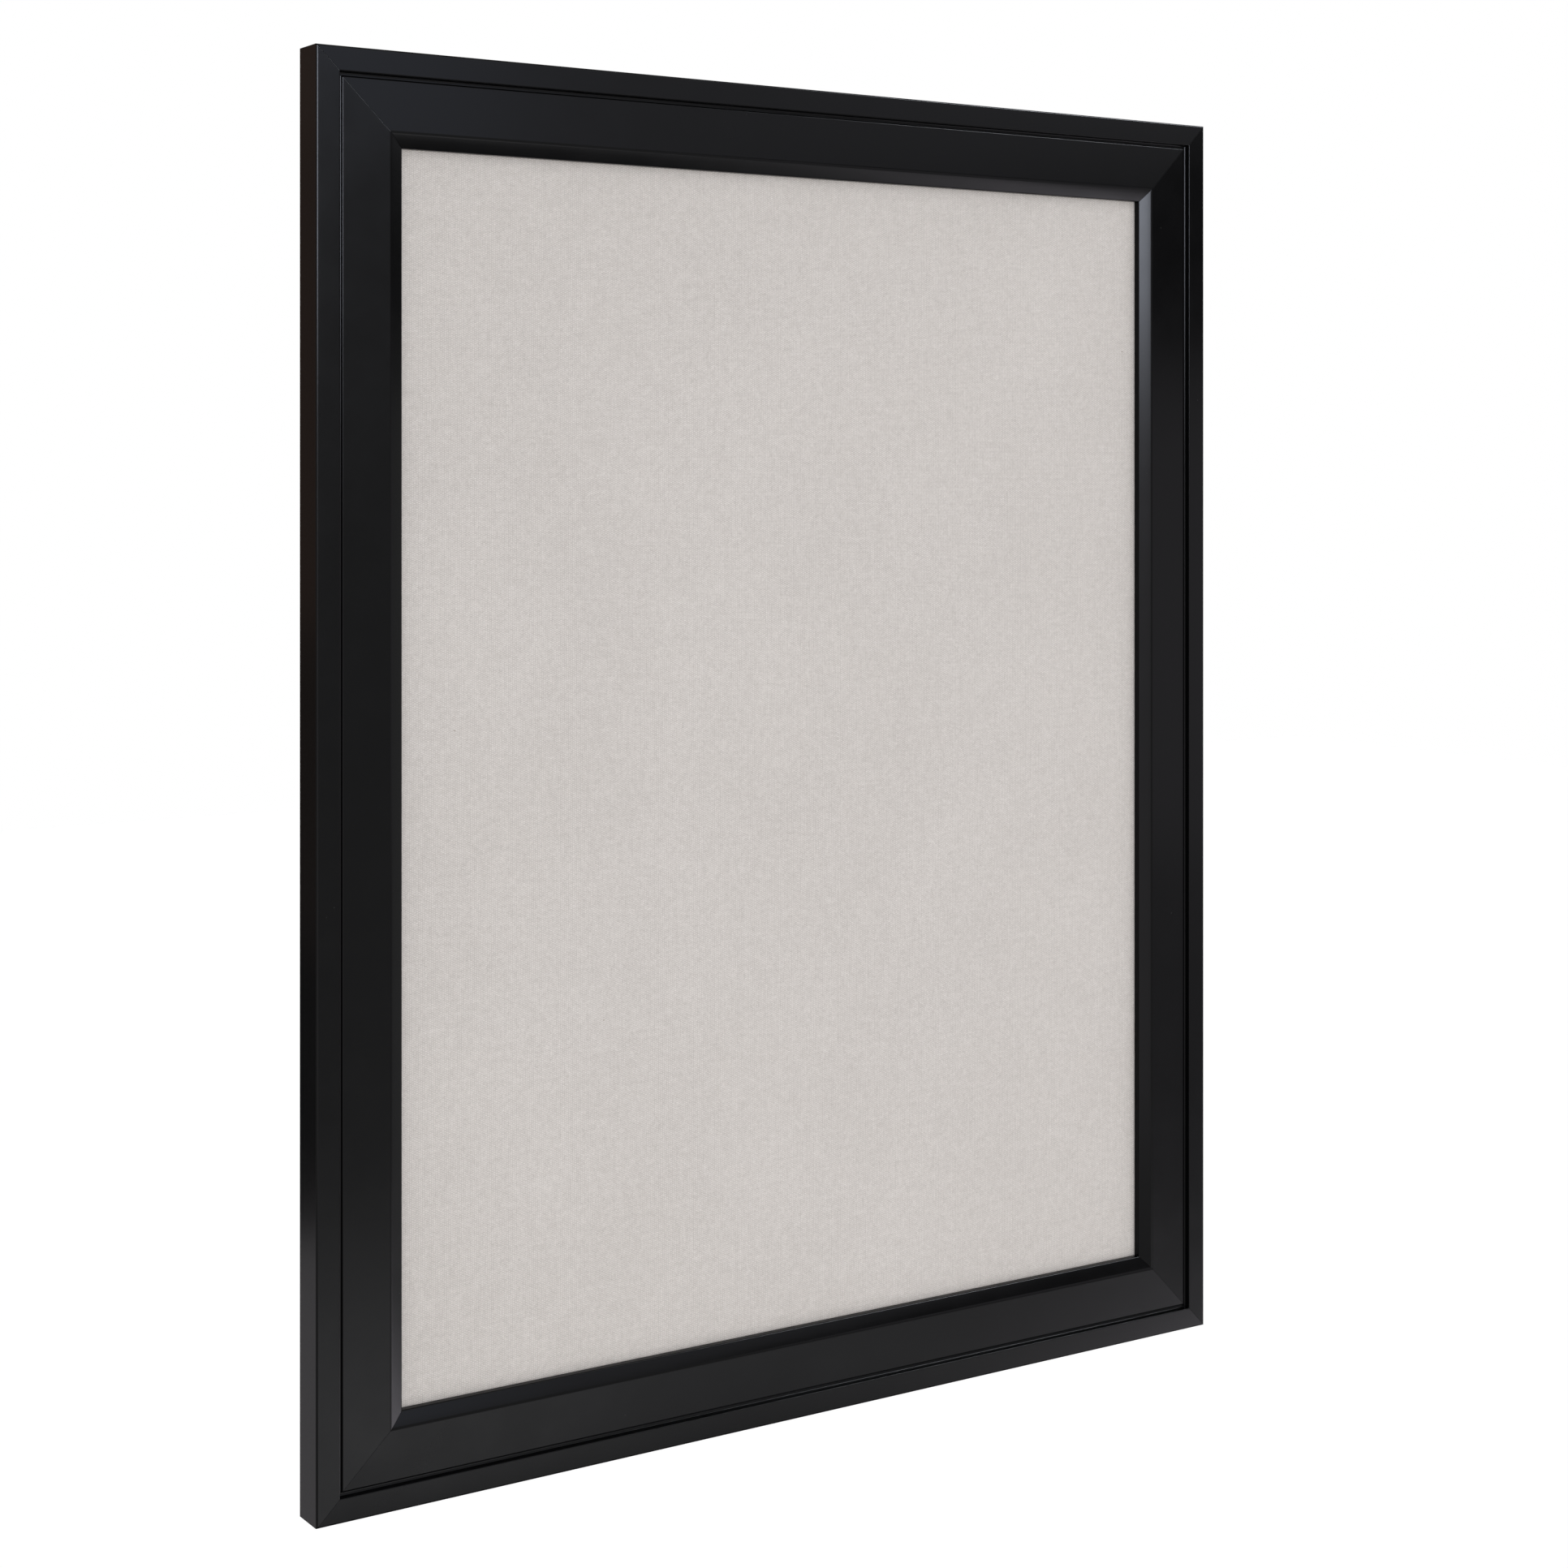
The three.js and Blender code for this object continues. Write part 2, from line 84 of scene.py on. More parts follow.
class Graph:
    """A node tree with short calls for what the finishes use."""

    def __init__(self, tree):
        self.tree = tree
        self.nodes = tree.nodes

    def node(self, kind, **settings):
        made = self.nodes.new(kind)
        for key, value in settings.items():
            setattr(made, key, value)
        return made

    def feed(self, socket, value):
        """A link where the value comes from a node, and otherwise the socket's own value."""
        if isinstance(value, bpy.types.NodeSocket):
            self.tree.links.new(value, socket)
        else:
            socket.default_value = value

    def math(self, operation, *values):
        made = self.node("ShaderNodeMath", operation=operation)
        for socket, value in zip(made.inputs, values):
            self.feed(socket, value)
        return made.outputs[0]

    def sway(self, value, weight):
        """A noise as a push both ways: its distance from a half, times a weight."""
        return self.math("MULTIPLY", self.math("SUBTRACT", value, 0.5), weight)

    def mix(self, factor, first, second):
        """Two numbers blended by a factor."""
        made = self.node("ShaderNodeMix", data_type="FLOAT")
        self.feed(made.inputs["Factor"], factor)
        self.feed(made.inputs[2], first)
        self.feed(made.inputs[3], second)
        return made.outputs[0]

    def tint(self, factor, first, second):
        """Two colours blended by a factor."""
        made = self.node("ShaderNodeMix", data_type="RGBA")
        self.feed(made.inputs["Factor"], factor)
        self.feed(made.inputs[6], first)
        self.feed(made.inputs[7], second)
        return made.outputs[2]

    def span(self, value, low, high, to_low=0.0, to_high=1.0):
        """A number carried from one range to another, and held at its ends."""
        made = self.node("ShaderNodeMapRange")
        for socket, number in zip(made.inputs, (value, low, high, to_low, to_high)):
            self.feed(socket, number)
        return made.outputs[0]

    def place(self, scale=(1, 1, 1), turn=0.0):
        """The piece's own coordinates in metres, scaled and then turned about Y."""
        source = self.node("ShaderNodeTexCoord")
        mapping = self.node("ShaderNodeMapping")
        mapping.inputs["Scale"].default_value = scale
        mapping.inputs["Rotation"].default_value = (0, turn, 0)
        self.tree.links.new(source.outputs["Object"], mapping.inputs["Vector"])
        return mapping.outputs[0]

    def noise(self, vector, scale, detail=2.0, roughness=0.5):
        made = self.node("ShaderNodeTexNoise")
        self.feed(made.inputs["Vector"], vector)
        made.inputs["Scale"].default_value = scale
        made.inputs["Detail"].default_value = detail
        made.inputs["Roughness"].default_value = roughness
        return made.outputs["Fac"]

    def cells(self, vector, scale):
        """The distance to the nearest of scattered points, and that point's own colour."""
        made = self.node("ShaderNodeTexVoronoi")
        self.feed(made.inputs["Vector"], vector)
        made.inputs["Scale"].default_value = scale
        return made.outputs["Distance"], made.outputs["Color"]

    def specks(self, vector, count, solid, gone, patches, rarity):
        """Specks in rare patches, solid up to one distance from scattered points and gone at the next."""
        distance, _ = self.cells(vector, count)
        speck = self.span(distance, solid, gone, 1.0, 0.0)
        rare = self.math("GREATER_THAN", self.noise(self.place(), patches, detail=0), rarity)
        return self.math("MULTIPLY", speck, rare)

    def split(self, vector):
        made = self.node("ShaderNodeSeparateXYZ")
        self.feed(made.inputs[0], vector)
        return made.outputs[0], made.outputs[1], made.outputs[2]

    def bump(self, height, distance, strength=1.0):
        made = self.node("ShaderNodeBump")
        self.feed(made.inputs["Height"], height)
        made.inputs["Distance"].default_value = distance
        made.inputs["Strength"].default_value = strength
        return made.outputs[0]


def new_finish(name, colour, roughness, metallic=0.0, specular=0.5):
    """A material, its graph and its surface shader."""
    finish = bpy.data.materials.new(name)
    finish.use_nodes = True
    finish.diffuse_color = (*colour, 1)
    graph = Graph(finish.node_tree)
    surface = graph.nodes["Principled BSDF"]
    surface.inputs["Base Color"].default_value = (*colour, 1)
    surface.inputs["Roughness"].default_value = roughness
    surface.inputs["Metallic"].default_value = metallic
    surface.inputs["Specular IOR Level"].default_value = specular
    return finish, graph, surface


# Finishes: linear colours, noises and cells counted per metre, and bumps of a real depth

LACQUER = (0.0024, 0.0024, 0.0026)
LACQUER_DUST = (0.025, 0.025, 0.025, 1)
LACQUER_CLEAN = 0.16
LACQUER_SMEARED = 0.2
PEEL_DEPTH = 0.003 * MM


def black_lacquer():
    """Satin black lacquer with a faint orange peel, a smear here and there and a few specks of dust."""
    finish, graph, surface = new_finish("black_lacquer", LACQUER, roughness=0.18, specular=0.08)
    place = graph.place()
    peel = graph.noise(place, 700)
    smear = graph.noise(place, 34, detail=4, roughness=0.6)
    dust = graph.specks(place, 120, solid=0.025, gone=0.04, patches=45, rarity=0.66)
    gloss = graph.span(smear, 0.3, 0.7, LACQUER_CLEAN, LACQUER_SMEARED)
    graph.feed(surface.inputs["Base Color"], graph.tint(dust, (*LACQUER, 1), LACQUER_DUST))
    graph.feed(surface.inputs["Roughness"], gloss)
    graph.feed(surface.inputs["Normal"], graph.bump(peel, PEEL_DEPTH))
    return finish


# The weave: the pitches of its warp pairs and its picks, and the share of a pitch that the yarns wander
WARP_PITCH = 1.25 * MM
WEFT_PITCH = 0.59 * MM
WARP_WANDER = 0.5
WEFT_WANDER = 0.9
WEFT_HEIGHT = 0.62
THREAD_DEPTH = 0.14 * MM
THREAD_STRENGTH = 0.8
# Painted shade of the weave: the picks, which lie lower, are painted darker and the warp ends over them
# lighter
WEFT_SHADE = 0.72
WARP_SHADE = 1.04
SLUB_HEIGHT = 1.2
FLECK_SHARE = 0.8
LINEN = (0.6, 0.56, 0.53)
# The ends of the linen's colour ramp, which carries the weave's painted shade and the yarn's own tone
LINEN_PALE = (0.707, 0.668, 0.641, 1)
LINEN_DEEP = (0.44, 0.408, 0.385, 1)
LINEN_FLECK = (0.30, 0.25, 0.21, 1)


def woven_height(graph):
    """The yarn's height, and where the warp lies on top: pairs of warp ends crossing single picks."""
    across, _, up = graph.split(graph.place())
    weft_noise = graph.noise(graph.place((60, 60, 500)), 1, detail=1)
    warp_noise = graph.noise(graph.place((500, 60, 60)), 1, detail=1)
    warp_shift = graph.math("MULTIPLY", warp_noise, WARP_WANDER)
    weft_shift = graph.math("MULTIPLY", weft_noise, WEFT_WANDER)
    u = graph.math("ADD", graph.math("DIVIDE", across, WARP_PITCH), warp_shift)
    v = graph.math("ADD", graph.math("DIVIDE", up, WEFT_PITCH), weft_shift)
    wave_u = graph.math("SINE", graph.math("MULTIPLY", u, math.pi))
    wave_v = graph.math("SINE", graph.math("MULTIPLY", v, math.pi))
    ends = graph.math("ABSOLUTE", graph.math("SINE", graph.math("MULTIPLY", u, 2 * math.pi)))
    high_u = graph.math("ABSOLUTE", wave_u)
    high_v = graph.math("ABSOLUTE", wave_v)
    warp_over = graph.math("GREATER_THAN", graph.math("MULTIPLY", wave_u, wave_v), 0.0)
    # A smaller power makes a yarn's round top fuller
    pair = graph.math("MULTIPLY", graph.math("POWER", high_u, 0.45), graph.math("POWER", ends, 0.2))
    warp = graph.math("MULTIPLY", pair, graph.math("POWER", high_v, 0.4))
    weft = graph.math("MULTIPLY", graph.math("POWER", high_u, 0.35), graph.math("POWER", high_v, 0.7))
    return graph.mix(warp_over, graph.math("MULTIPLY", weft, WEFT_HEIGHT), warp), warp_over


def linen_cloth():
    """Canvas-woven linen with painted shade in its weave, slubs both ways, fuzz, mottling and a few
    flecks.
    """
    finish, graph, surface = new_finish("linen_cloth", LINEN, roughness=0.9, specular=0.2)
    height, warp_over = woven_height(graph)
    weft_slubs = graph.noise(graph.place((34, 1, 900)), 1, detail=3, roughness=0.6)
    warp_slubs = graph.noise(graph.place((700, 1, 34)), 1, detail=3, roughness=0.6)
    weft_share = graph.math("MULTIPLY", weft_slubs, 0.6)
    warp_share = graph.math("MULTIPLY", warp_slubs, 0.4)
    slubs = graph.math("ADD", weft_share, warp_share)
    fuzz = graph.noise(graph.place(), 1300, detail=3, roughness=0.8)
    mottle = graph.noise(graph.place(), 330, detail=3, roughness=0.7)
    cloud = graph.noise(graph.place(), 9, detail=3)

    # Painted shade: pale on the yarns' tops, dark in the hollows and on the lower picks; the yarn's own
    # slubs, fuzz, mottle and cloud follow
    shade = graph.math("MULTIPLY", height, graph.mix(warp_over, WEFT_SHADE, WARP_SHADE))
    for tone, weight in ((slubs, 0.55), (fuzz, 1.3), (mottle, 0.7), (cloud, 0.25)):
        shade = graph.math("ADD", shade, graph.sway(tone, weight))
    colour = graph.tint(graph.span(shade, -0.1, 1.1), LINEN_DEEP, LINEN_PALE)
    flecks = graph.specks(graph.place((1, 1, 2.2)), 24, solid=0.012, gone=0.02, patches=13, rarity=0.55)
    faint = graph.math("MULTIPLY", flecks, FLECK_SHARE)
    graph.feed(surface.inputs["Base Color"], graph.tint(faint, colour, LINEN_FLECK))

    thick = graph.math("ADD", height, graph.sway(slubs, SLUB_HEIGHT))
    graph.feed(surface.inputs["Normal"], graph.bump(thick, THREAD_DEPTH, THREAD_STRENGTH))
    surface.inputs["Sheen Weight"].default_value = 0.12
    surface.inputs["Sheen Roughness"].default_value = 0.5
    return finish


COMPOSITE = (0.30, 0.2, 0.115)
COMPOSITE_DARK = (0.21, 0.135, 0.075, 1)
COMPOSITE_PALE = (0.36, 0.25, 0.15, 1)
COMPOSITE_CLOUD = (0.24, 0.16, 0.09, 1)
COMPOSITE_ROUGH = 0.82
COMPOSITE_DEPTH = 0.03 * MM
# The overspray is solid up to one distance from the rim and gone at the next, and its edge is ragged
SPRAY = (0.006, 0.006, 0.0065, 1)
SPRAY_ROUGH = 0.45
SPRAY_SOLID = 2 * MM
SPRAY_END = 4.5 * MM
SPRAY_RAGGED = 6 * MM


def rim_distance(graph, place):
    """How far a point on the board lies from the nearest of its four outer edges."""
    across, _, up = graph.split(place)
    half_width = (right_high.x - left_low.x) / 2
    half_height = (top_high.z - bottom_low.z) / 2
    rise = graph.math("ABSOLUTE", graph.math("SUBTRACT", up, board_middle.z))
    side = graph.math("SUBTRACT", half_width, graph.math("ABSOLUTE", across))
    end = graph.math("SUBTRACT", half_height, rise)
    return graph.math("MINIMUM", side, end)


def raw_composite():
    """The moulding's bare back: tan fibre composite with black overspray creeping in from its rim."""
    finish, graph, surface = new_finish("raw_composite", COMPOSITE, roughness=0.8, specular=0.3)
    place = graph.place()
    fibre = graph.noise(place, 700, detail=4, roughness=0.7)
    cloud = graph.noise(place, 16, detail=3)
    colour = graph.tint(graph.span(fibre, 0.3, 0.7), COMPOSITE_DARK, COMPOSITE_PALE)
    colour = graph.tint(graph.span(cloud, 0.2, 0.8, 0.0, 0.35), colour, COMPOSITE_CLOUD)
    creep = graph.sway(graph.noise(place, 120, detail=4), SPRAY_RAGGED)
    ragged = graph.math("ADD", rim_distance(graph, place), creep)
    spray = graph.span(ragged, SPRAY_SOLID, SPRAY_END, 1.0, 0.0)
    graph.feed(surface.inputs["Base Color"], graph.tint(spray, colour, SPRAY))
    graph.feed(surface.inputs["Roughness"], graph.mix(spray, COMPOSITE_ROUGH, SPRAY_ROUGH))
    graph.feed(surface.inputs["Normal"], graph.bump(fibre, COMPOSITE_DEPTH))
    return finish


HARDBOARD = (0.14, 0.07, 0.035)
HARDBOARD_DARK = (0.10, 0.048, 0.022, 1)
HARDBOARD_PALE = (0.21, 0.11, 0.056, 1)
HARDBOARD_CLOUD = (0.17, 0.095, 0.05, 1)
HARDBOARD_FIBRE = (0.32, 0.2, 0.11, 1)
HARDBOARD_DEPTH = 0.02 * MM
# Cells whose random tone is over the first are pale fibres, and show the second share of a fibre's colour
PALE_RARITY = 0.92
PALE_SHARE = 0.13


def brown_hardboard():
    """Hardboard: pressed brown fibre, smooth and slightly waxy, with scattered pale fibres."""
    finish, graph, surface = new_finish("brown_hardboard", HARDBOARD, roughness=0.55, specular=0.35)
    fibre = graph.noise(graph.place((1, 1, 0.6)), 420, detail=5, roughness=0.75)
    cloud = graph.noise(graph.place(), 7, detail=4)
    colour = graph.tint(graph.span(fibre, 0.3, 0.7), HARDBOARD_DARK, HARDBOARD_PALE)
    colour = graph.tint(graph.span(cloud, 0.25, 0.75, 0.0, 0.4), colour, HARDBOARD_CLOUD)
    _, tone = graph.cells(graph.place((1, 1, 0.4), turn=0.5), 950)
    pale = graph.math("GREATER_THAN", graph.split(tone)[0], PALE_RARITY)
    colour = graph.tint(graph.math("MULTIPLY", pale, PALE_SHARE), colour, HARDBOARD_FIBRE)
    graph.feed(surface.inputs["Base Color"], colour)
    graph.feed(surface.inputs["Roughness"], graph.span(cloud, 0.2, 0.8, 0.45, 0.62))
    graph.feed(surface.inputs["Normal"], graph.bump(fibre, HARDBOARD_DEPTH))
    return finish


FIBREBOARD = (0.38, 0.27, 0.15)
FIBREBOARD_DARK = (0.27, 0.18, 0.09, 1)
FIBREBOARD_PALE = (0.48, 0.36, 0.21, 1)
FIBREBOARD_DEPTH = 0.3 * MM


def soft_fibreboard():
    """The pinning panel: loosely felted fibre."""
    finish, graph, surface = new_finish("soft_fibreboard", FIBREBOARD, roughness=0.95, specular=0.2)
    fibre = graph.noise(graph.place((1, 1, 0.5)), 300, detail=6, roughness=0.8)
    colour = graph.tint(graph.span(fibre, 0.25, 0.75), FIBREBOARD_DARK, FIBREBOARD_PALE)
    graph.feed(surface.inputs["Base Color"], colour)
    graph.feed(surface.inputs["Normal"], graph.bump(fibre, FIBREBOARD_DEPTH))
    return finish


BRIGHT_ZINC = (0.62, 0.63, 0.64)
DULL_ZINC = (0.5, 0.51, 0.52)
# The share of its colour that bloomed zinc keeps, and how far the marks pull the roughness down and up
BLOOM_SHARE = 0.82
MARK_GLOSS = 0.07
MARK_ROUGH = 0.12
MARK_DEPTH = 0.003 * MM


def zinc_plate(name, colour, roughness):
    """Zinc-plated steel: fine drawing marks and a faint bloom."""
    finish, graph, surface = new_finish(name, colour, roughness, metallic=1.0)
    marks = graph.noise(graph.place((1, 1, 0.12)), 5200, detail=3)
    bloom = graph.noise(graph.place(), 260, detail=4)
    bloomed = (*(c * BLOOM_SHARE for c in colour), 1)
    tone = graph.tint(graph.span(bloom, 0.3, 0.7), (*colour, 1), bloomed)
    gloss = graph.span(marks, 0.25, 0.75, roughness - MARK_GLOSS, roughness + MARK_ROUGH)
    graph.feed(surface.inputs["Base Color"], tone)
    graph.feed(surface.inputs["Roughness"], gloss)
    graph.feed(surface.inputs["Normal"], graph.bump(marks, MARK_DEPTH))
    return finish


RUBBER = (0.02, 0.02, 0.021)
RUBBER_DARK = (0.016, 0.016, 0.017, 1)
RUBBER_BLOOM = (0.035, 0.035, 0.036, 1)
RUBBER_DEPTH = 0.02 * MM


def matt_rubber():
    """Black moulded rubber with a fine grain and a pale bloom."""
    finish, graph, surface = new_finish("matt_rubber", RUBBER, roughness=0.75, specular=0.4)
    grain = graph.noise(graph.place(), 3000, detail=3)
    bloom = graph.noise(graph.place(), 300, detail=3)
    colour = graph.tint(graph.span(bloom, 0.35, 0.7), RUBBER_DARK, RUBBER_BLOOM)
    graph.feed(surface.inputs["Base Color"], colour)
    graph.feed(surface.inputs["Normal"], graph.bump(grain, RUBBER_DEPTH))
    return finish


# Pieces

# Places within the reach merge, faces under the flat angle join, and edges over a sharp angle are broken
MERGE_REACH = 0.002 * MM
FLAT_ANGLE = 0.4
SHARP_ANGLE = 50
BUMPER_SHARP_ANGLE = 35
# Edges under these angles shade smooth, and all the angles are in degrees
SOLID_SMOOTH_ANGLE = 32
LINEN_SMOOTH_ANGLE = 60
WIRE_SMOOTH_ANGLE = 50
# The steps of a small bevel, and its width on each kind of edge
EDGE_STEPS = 2
MITRE_EDGE = 0.2 * MM
BACKING_EDGE = 0.3 * MM
STRAP_EDGE = 0.12 * MM
SCREW_EDGE = 0.08 * MM
STEEL_EDGE = 0.06 * MM
BUMPER_EDGE = 0.25 * MM


def mesh_object(name, mesh, body, finish):
    """A piece of the board, with its finish, riding on its body."""
    piece = bpy.data.objects.new(name, mesh)
    bpy.context.scene.collection.objects.link(piece)
    mesh.materials.append(finish)
    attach(piece, body)
    return piece


def finished_mesh(work, name):
    """The mesh that a bmesh holds, which is freed."""
    mesh = bpy.data.meshes.new(name)
    work.to_mesh(mesh)
    work.free()
    return mesh


def smooth_by_angle(mesh, degrees):
    """Round faces shade smooth, and edges sharper than the angle stay crisp."""
    work = bmesh.new()
    work.from_mesh(mesh)
    limit = math.radians(degrees)
    for face in work.faces:
        face.smooth = True
    for edge in work.edges:
        edge.smooth = len(edge.link_faces) == 2 and edge.calc_face_angle(0) < limit
    work.to_mesh(mesh)
    work.free()


def break_edges(work, edges, width, clamp):
    """A small rounded bevel, which a clamp keeps from running into its neighbours."""
    bmesh.ops.bevel(
        work, geom=edges, offset=width, offset_type="OFFSET", affect="EDGES",
        segments=EDGE_STEPS, profile=0.5, material=-1, clamp_overlap=clamp,
    )


def worked_solid(node, width, sharp, eased):
    """A merged copy of a solid, its flat faces joined, and its eased edges and its sharp edges broken."""
    work = bmesh.new()
    work.from_mesh(bpy.data.objects[node].data)
    bmesh.ops.remove_doubles(work, verts=work.verts, dist=MERGE_REACH)
    bmesh.ops.dissolve_limit(
        work, angle_limit=math.radians(FLAT_ANGLE), use_dissolve_boundaries=False,
        verts=work.verts, edges=work.edges, delimit={"NORMAL"},
    )
    if eased:
        # The moulding's rounded section would clamp this bevel to nothing
        break_edges(work, [e for e in work.edges if eased(e)], MITRE_EDGE, False)
    if width > 0:
        limit = math.radians(sharp)
        sharp_edges = [e for e in work.edges if len(e.link_faces) == 2 and e.calc_face_angle(0) > limit]
        break_edges(work, sharp_edges, width, True)
    mesh = finished_mesh(work, node + "_worked")
    smooth_by_angle(mesh, SOLID_SMOOTH_ANGLE)
    return mesh


def dressed(node, slot, finish, width=0.0, sharp=SHARP_ANGLE, eased=None):
    """A worked copy that stands for its solid, whose large flat faces hold the shading at their rims."""
    mesh = worked_solid(node, width, sharp, eased)
    piece = mesh_object(node + "_finished", mesh, BOARD, finish)
    shading = piece.modifiers.new("shading", "WEIGHTED_NORMAL")
    shading.mode = "FACE_AREA"
    shading.weight = 100
    shading.keep_sharp = True
    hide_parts(node)
    return piece


# The moulding is bare where it looks back behind its lip, and where it looks sideways from a step deeper,
# but not at its outer rim
LIP_DEPTH = 6.5 * MM
RABBET_STEP = 3 * MM
RIM = 1 * MM
# The parts of a face's normal that tell which way it looks
LOOKS_BACK = 0.8
LOOKS_SIDEWAYS = 0.2
LOOKS_FORWARD = -0.5
SLANTS = 0.6


def upper_mitre_arris(edge):
    """An arris between a face in front and a mitre that points up, which on a stile is its upper one."""
    normals = [face.normal for face in edge.link_faces]
    mitred = any(n.z > SLANTS and abs(n.x) > SLANTS for n in normals)
    return mitred and any(n.y < LOOKS_FORWARD for n in normals)


def moulding(node, lacquer, raw):
    """A length of moulding: lacquered in front and outside, bare behind and in the rabbet."""
    # Only the stiles are eased: the bottom rail's mitres point up too, and stay sharp
    eased = upper_mitre_arris if "stile" in node else None
    piece = dressed(node, "frame_lacquer", lacquer, eased=eased)
    piece.data.materials.append(raw)
    lip = front_plane + LIP_DEPTH
    rabbet = lip + RABBET_STEP
    for face in piece.data.polygons:
        behind = face.normal.y > LOOKS_BACK and face.center.y > lip
        inside = abs(face.normal.y) < LOOKS_SIDEWAYS and face.center.y > rabbet
        outer = (
            face.center.x < left_low.x + RIM or face.center.x > right_high.x - RIM
            or face.center.z > top_high.z - RIM or face.center.z < bottom_low.z + RIM
        )
        if behind or (inside and not outer):
            face.material_index = 1


HEM_REACH = 38 * MM
LINEN_WALL = 0.55 * MM
LINEN_FOLD = 0.9 * MM
FOLD_STEPS = 3


def stretched_linen(cloth):
    """The linen: a taut front, edges folded round the panel, and hems with mitred corners behind."""
    low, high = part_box("linen_cover")
    side = high.y - low.y
    work = bmesh.new()
    corners = [(low.x, high.z), (high.x, high.z), (high.x, low.z), (low.x, low.z)]
    front = work.faces.new([work.verts.new((x, low.y, z)) for x, z in corners])
    loop = list(front.edges)
    for move, shrink in ((side, 0.0), (0.0, HEM_REACH)):
        grown = bmesh.ops.extrude_edge_only(work, edges=loop)["geom"]
        fresh = [g for g in grown if isinstance(g, bmesh.types.BMVert)]
        loop = [
            g for g in grown
            if isinstance(g, bmesh.types.BMEdge) and all(v in fresh for v in g.verts)
        ]
        for vert in fresh:
            vert.co.y += move
            vert.co.x -= math.copysign(shrink, vert.co.x)
            vert.co.z -= math.copysign(shrink, vert.co.z - board_middle.z)
    folds = [e for e in work.edges if len(e.link_faces) == 2]
    bmesh.ops.bevel(
        work, geom=folds, offset=LINEN_FOLD, affect="EDGES",
        segments=FOLD_STEPS, profile=0.5, material=-1,
    )
    bmesh.ops.recalc_face_normals(work, faces=work.faces)
    mesh = finished_mesh(work, "stretched_linen")
    smooth_by_angle(mesh, LINEN_SMOOTH_ANGLE)
    piece = mesh_object("stretched_linen", mesh, BOARD, cloth)
    wall = piece.modifiers.new("wall", "SOLIDIFY")
    wall.thickness = LINEN_WALL
    wall.offset = -1
    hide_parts("linen_cover")


# The ring's wire, the narrow gap in its bar, the turns beside the bar and the start of its bow
WIRE_RADIUS = 1.0 * MM
WIRE_SIDES = 20
BAR_GAP = 0.2 * MM
BAR_TURN = 2.4 * MM
TURN_STEPS = 8
BOW_FLAT = 2.0 * MM
BOW_STEPS = 28


def bezier(points, steps):
    """Places on a curve, its first point left out."""
    order = len(points) - 1
    for i in range(1, steps + 1):
        t = i / steps
        weights = [math.comb(order, k) * (1 - t) ** (order - k) * t ** k for k in range(order + 1)]
        yield tuple(sum(w * p[c] for w, p in zip(weights, points)) for c in (0, 1))


def ring_path(reach, half):
    """The wire's middle line, out from the hinge and along it: half bar, turn, half bow, then mirrored."""
    middle = (BAR_TURN + reach) / 2
    turn = [(0, half - BAR_TURN), (0, half), (BAR_TURN, half)]
    bow = [(BAR_TURN, half), (middle, half), (reach, half - BAR_TURN), (reach, BOW_FLAT)]
    path = [(0, BAR_GAP), (0, (half - BAR_TURN) / 2), (0, half - BAR_TURN)]
    path += bezier(turn, TURN_STEPS)
    path += bezier(bow, BOW_STEPS)
    return path + [(x, -z) for x, z in reversed(path)]


def wire_ring(node, body, zinc):
    """A hanger ring bent from round wire, drawn on the solid's own places."""
    # The solid's box gives the bar's end and the bow's end, and its joint the hinge line
    low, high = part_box(node)
    upright = "portrait" in node
    joint = next(j for j in frame["joints"] if j["child"] == body)
    hinge = Vector(joint["pos_m"])
    axis = Vector(joint["axis"])
    away = Vector((0, 0, -1)) if upright else Vector((1, 0, 0))
    along = ((hinge - low).z if upright else (high - hinge).x) - WIRE_RADIUS
    lift = high.y - WIRE_RADIUS - hinge.y
    out = (away * along + Vector((0, lift, 0))).normalized()
    reach = math.hypot(along, lift)
    half = ((high.x - low.x) if upright else (high.z - low.z)) / 2 - WIRE_RADIUS
    points = [hinge + out * x + axis * z for x, z in ring_path(reach, half)]

    work = bmesh.new()
    side = out.cross(axis).normalized()
    rings = []
    for i, point in enumerate(points):
        before = points[max(i - 1, 0)]
        after = points[min(i + 1, len(points) - 1)]
        tangent = (after - before).normalized()
        turnwise = tangent.cross(side).normalized()
        basis = Matrix((side, turnwise, tangent)).transposed().to_4x4()
        basis.translation = point
        made = bmesh.ops.create_circle(work, segments=WIRE_SIDES, radius=WIRE_RADIUS, matrix=basis)
        rings.append([e for e in work.edges if all(v in made["verts"] for v in e.verts)])
    for first, second in zip(rings, rings[1:]):
        bmesh.ops.bridge_loops(work, edges=first + second)
    for ends in (rings[0], rings[-1]):
        bmesh.ops.contextual_create(work, geom=ends)
    bmesh.ops.recalc_face_normals(work, faces=work.faces)
    mesh = finished_mesh(work, node + "_wire")
    smooth_by_angle(mesh, WIRE_SMOOTH_ANGLE)
    piece = mesh_object(node + "_wire", mesh, body, zinc)
    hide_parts(node)


# The studio, in metres

WORLD_LIGHT = 0.75
FLOOR_DROP = 1.5
FLOOR_SIZE = 14
FLOOR_GLOW = 0.35
FLOOR_COLOUR = (0.85, 0.85, 0.85, 1)
CARD_LIFT = 0.01
WHITE = (1, 1, 1, 1)
floor_plane = bottom_low.z - FLOOR_DROP


def white_when_seen(graph, plain, white):
    """White for what the camera, a mirror or glass sees, and plain light for the rest."""
    path = graph.node("ShaderNodeLightPath")
    seen = graph.math("MAXIMUM", path.outputs["Is Camera Ray"], path.outputs["Is Glossy Ray"])
    seen = graph.math("MAXIMUM", seen, path.outputs["Is Transmission Ray"])
    blend = graph.node("ShaderNodeMixShader")
    graph.feed(blend.inputs[0], seen)
    graph.feed(blend.inputs[1], plain)
    graph.feed(blend.inputs[2], white)
    return blend.outputs[0]


